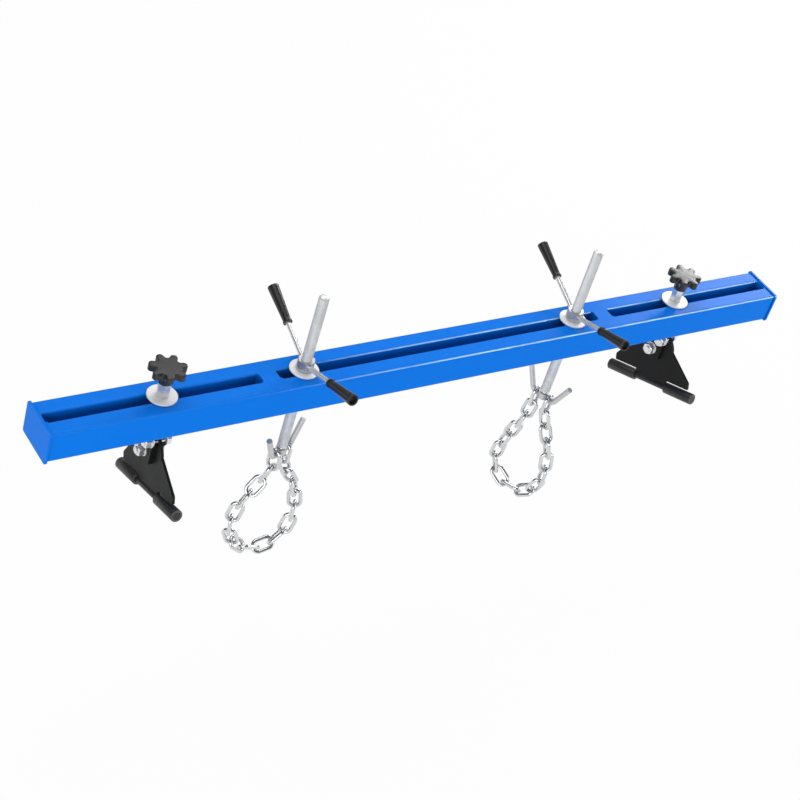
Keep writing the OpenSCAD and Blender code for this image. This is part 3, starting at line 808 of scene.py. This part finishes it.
def slot_fill(name, low, high, round_low, round_high, depth=FILL_DEPTH):
    """Flush fill between the rails, with filleted corners where the slot goes on."""
    def end(x, way):
        corner = []
        for step in range(6):
            swing = math.pi / 2 * step / 5
            corner.append((
                x + way * FILLET * (1 - math.sin(swing)), SLOT_HALF - FILLET * (1 - math.cos(swing))
            ))
        upper = [(x + way * FILLET, FILL_HALF)] + corner
        return upper + [(px, -py) for px, py in reversed(upper)]

    outline = end(high, 1) if round_high else [(high, FILL_HALF), (high, -FILL_HALF)]
    outline += list(reversed(end(low, -1))) if round_low else [(low, -FILL_HALF), (low, FILL_HALF)]
    mesh = bmesh.new()
    top = [mesh.verts.new((x, y, FILL_TOP)) for x, y in outline]
    foot = [mesh.verts.new((x, y, -depth)) for x, y in outline]
    mesh.faces.new(top)
    mesh.faces.new(foot[::-1])
    for k in range(len(outline)):
        after = (k + 1) % len(outline)
        mesh.faces.new((top[after], top[k], foot[k], foot[after]))
    fill = smooth_piece(mesh, name)
    dress(fill, BLUE_PAINT)
    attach(fill, "beam")
    return fill


for side, way in (("left", -1), ("right", 1)):
    middle = way * BRIDGE_X
    bridge = slot_fill(
        f"slot_bridge_{side}", middle - BRIDGE_HALF, middle + BRIDGE_HALF, True, True, BEAM_DEPTH
    )
    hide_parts(f"spacer_{side}")
slot_fill("slot_end_fill_left", -SLOT_END, END_FILL - SLOT_END, False, True)
slot_fill("slot_end_fill_right", SLOT_END - END_FILL, SLOT_END, True, False)

# ---------- floor, backdrop and light ----------

# the hoists lower their chains by 120.5 mm, and the floor lies below that
FLOOR_DROP = 0.135
FLOOR_Z = cad_low.z - FLOOR_DROP
FLOOR_SIZE = 12
FLAT_SHARE = 0.94
WHITE = (1, 1, 1, 1)


def make_floor():
    """Plain white floor. The camera sees mostly its flat white, with a faint shadow."""
    mesh = bmesh.new()
    bmesh.ops.create_grid(mesh, x_segments=1, y_segments=1, size=FLOOR_SIZE)
    floor = piece_from(mesh, "floor")
    floor.location.z = FLOOR_Z
    material = bpy.data.materials.new("white_floor")
    material.use_nodes = True
    tree = material.node_tree
    tree.nodes.clear()
    clouds = placed(tree, CLOUDINESS, Scale=1.5, Contrast=0.6)
    tint = mixed(tree, clouds, (0.80, 0.80, 0.80, 1), (0.84, 0.84, 0.84, 1))
    matt = add(tree, "ShaderNodeBsdfDiffuse", {"Color": tint}).outputs[0]
    flat = add(tree, "ShaderNodeEmission", {"Color": WHITE, "Strength": 1.0}).outputs[0]
    rays = add(tree, "ShaderNodeLightPath").outputs
    seen = maths(tree, "MAXIMUM", rays["Is Camera Ray"], rays["Is Glossy Ray"])
    seen = maths(tree, "MAXIMUM", seen, rays["Is Transmission Ray"])
    share = maths(tree, "MULTIPLY", seen, FLAT_SHARE)
    both = add(tree, "ShaderNodeMixShader", {0: share, 1: matt, 2: flat}).outputs[0]
    out = add(tree, "ShaderNodeOutputMaterial")
    tree.links.new(both, out.inputs["Surface"])
    dress(floor, material)
    floor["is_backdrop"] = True


def make_world(strength, mirrored):
    """Even light, darker where polished metal mirrors it."""
    world = bpy.data.worlds.new("studio")
    bpy.context.scene.world = world
    world.use_nodes = True
    tree = world.node_tree
    tree.nodes.clear()
    rays = add(tree, "ShaderNodeLightPath").outputs
    seen = maths(tree, "MAXIMUM", rays["Is Camera Ray"], rays["Is Transmission Ray"])
    level = spread(tree, rays["Is Glossy Ray"], 0.0, 1.0, strength, mirrored)
    plain = add(tree, "ShaderNodeBackground", {"Color": WHITE, "Strength": level}).outputs[0]
    white = add(tree, "ShaderNodeBackground", {"Color": WHITE, "Strength": 1.0}).outputs[0]
    both = add(tree, "ShaderNodeMixShader", {0: seen, 1: plain, 2: white}).outputs[0]
    out = add(tree, "ShaderNodeOutputWorld")
    tree.links.new(both, out.inputs["Surface"])


def softbox(name, place, aim, size, power):
    data = bpy.data.lights.new(name, "AREA")
    data.shape = "RECTANGLE"
    data.size, data.size_y = size
    data.energy = power
    lamp = bpy.data.objects.new(name, data)
    lamp.location = place
    lamp.rotation_mode = "QUATERNION"
    lamp.rotation_quaternion = (Vector(aim) - Vector(place)).to_track_quat("-Z", "Y")
    bpy.context.scene.collection.objects.link(lamp)
    return lamp


def edge_light(name, place, aim, size, radiance):
    """Narrow lamp that only gleams in the gloss paint, and adds no light of its own."""
    lamp = softbox(name, place, aim, size, radiance * math.pi * size[0] * size[1])
    lamp.visible_diffuse = False
    painted = bpy.data.collections.new("gloss_painted")
    for piece in bpy.context.scene.objects:
        if piece.type == "MESH" and piece.data.materials[0] == BLUE_PAINT:
            painted.objects.link(piece)
    lamp.light_linking.receiver_collection = painted


make_floor()
make_world(0.40, 0.13)
softbox("softbox_top", (-0.3, 1.0, 2.4), (0, 0, 0), (2.6, 1.2), 28)
softbox("softbox_back", (1.5, 2.1, 2.1), (0, 0, 0), (2.0, 1.2), 11)
softbox("softbox_right_back", (3.85, 2.1, 2.0), (0.4, 0, 0), (1.4, 1.2), 82)
softbox("softbox_right_front", (2.6, -2.4, 0.8), (0.2, 0, 0), (2.8, 1.6), 36)
softbox("softbox_left_front", (-2.9, -2.2, 0.7), (0, 0, -0.1), (3.4, 1.8), 64)
edge_light("edge_strip", (1.6, -1.06, 1.06), (0.2, 0, 0), (1.9, 0.16), 16)

bpy.context.scene.view_settings.view_transform = "Standard"

# ---------- image points ----------

# how near a hit may be to a point that still shows
SIGHT_MARGIN = 0.0015

# name: (piece, direction of the end or edge, x, y) in the photograph's frame
EDGES = {
    "object_left": ("any", (-1, 0), 22.0, None),
    "object_right": ("any", (1, 0), 776.8, None),
    "object_top": ("any", (0, -1), None, 242.0),
    "object_bottom": ("any", (0, 1), None, 556.0),
    "left_end_plate_lowest_corner": ("end_plate_left", (0, 1), 44.6, 466.3),
    "right_end_plate_lowest_corner": ("end_plate_right", (0, 1), 766.2, 322.0),
}
ENDS = {
    "left_screw_top": ("lift_screw_thread_left", (0, 0, 1), 324.5, 298.2),
    "right_screw_top": ("lift_screw_thread_right", (0, 0, 1), 599.0, 248.6),
    "left_clamp_washer": ("clamp_washer_left", (0, 0, 1), 161.7, 394.1),
    "right_clamp_washer": ("clamp_washer_right", (0, 0, 1), 672.5, 299.1),
    "left_spacer": ("slot_bridge_left", (0, 0, 1), 268.7, 377.3),
    "right_spacer": ("slot_bridge_right", (0, 0, 1), 601.7, 314.6),
    "left_front_grip_end": ("grip_front_left", (0, -1, 0), 354.0, 398.2),
    "left_rear_grip_end": ("grip_rear_left", (0, 1, 0), 274.2, 286.6),
    "right_front_grip_end": ("grip_front_right", (0, -1, 0), 625.0, 348.0),
    "right_rear_grip_end": ("grip_rear_right", (0, 1, 0), 541.8, 244.6),
    "left_foot_rod_rear_end": ("foot_rod_left", (0, 1, 0), 119.1, 461.9),
    "left_foot_rod_front_end": ("foot_rod_left", (0, -1, 0), 175.0, 514.6),
    "right_foot_rod_rear_end": ("foot_rod_right", (0, 1, 0), 610.3, 362.9),
    "right_foot_rod_front_end": ("foot_rod_right", (0, -1, 0), 692.1, 400.0),
}


def image_point(place):
    """Where a point of the scene shows, in the photograph's pixels."""
    local = camera.matrix_world.inverted() @ place
    long_side = max(IMAGE_W, IMAGE_H)
    scale = long_side * LENS / SENSOR / -local.z
    return (
        local.x * scale + IMAGE_W / 2 - SHIFT_X * long_side,
        IMAGE_H / 2 - local.y * scale + SHIFT_Y * long_side,
    )


def finished_points(obj, graph):
    solid = obj.evaluated_get(graph)
    mesh = solid.to_mesh()
    points = [solid.matrix_world @ v.co for v in mesh.vertices]
    faces = [tuple(p.vertices) for p in mesh.polygons]
    solid.to_mesh_clear()
    return points, faces


def long_axis(points):
    """Direction of the greatest extent of a slim piece."""
    middle = sum(points, Vector()) / len(points)
    far = max(points, key=lambda p: (p - middle).length)
    other = max(points, key=lambda p: (p - far).length)
    return (far - other).normalized()


def write_points():
    graph = bpy.context.evaluated_depsgraph_get()
    shapes = {o.name: finished_points(o, graph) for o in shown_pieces()}
    trees = [BVHTree.FromPolygons(points, faces) for points, faces in shapes.values()]
    eye = camera.matrix_world.translation

    def shows(place):
        way = (place - eye).normalized()
        reach = (place - eye).length
        for tree in trees:
            hit = tree.ray_cast(eye, way, reach - SIGHT_MARGIN)
            if hit[0] is not None:
                return False
        return True

    for name, (piece, way, x, y) in EDGES.items():
        points = []
        for label, (verts, _) in shapes.items():
            if piece in ("any", label):
                points += verts
        ranked = sorted(points, key=lambda p: -Vector(way).dot(Vector(image_point(p))))
        seen = next((p for p in ranked if shows(p)), None)
    for name, (piece, way, x, y) in ENDS.items():
        if piece not in shapes:
            continue
        points = shapes[piece][0]
        axis = Vector(way)
        if "rod" in piece or "grip" in piece:
            axis = long_axis(points)
            axis = axis if axis.dot(Vector(way)) > 0 else -axis


write_points()
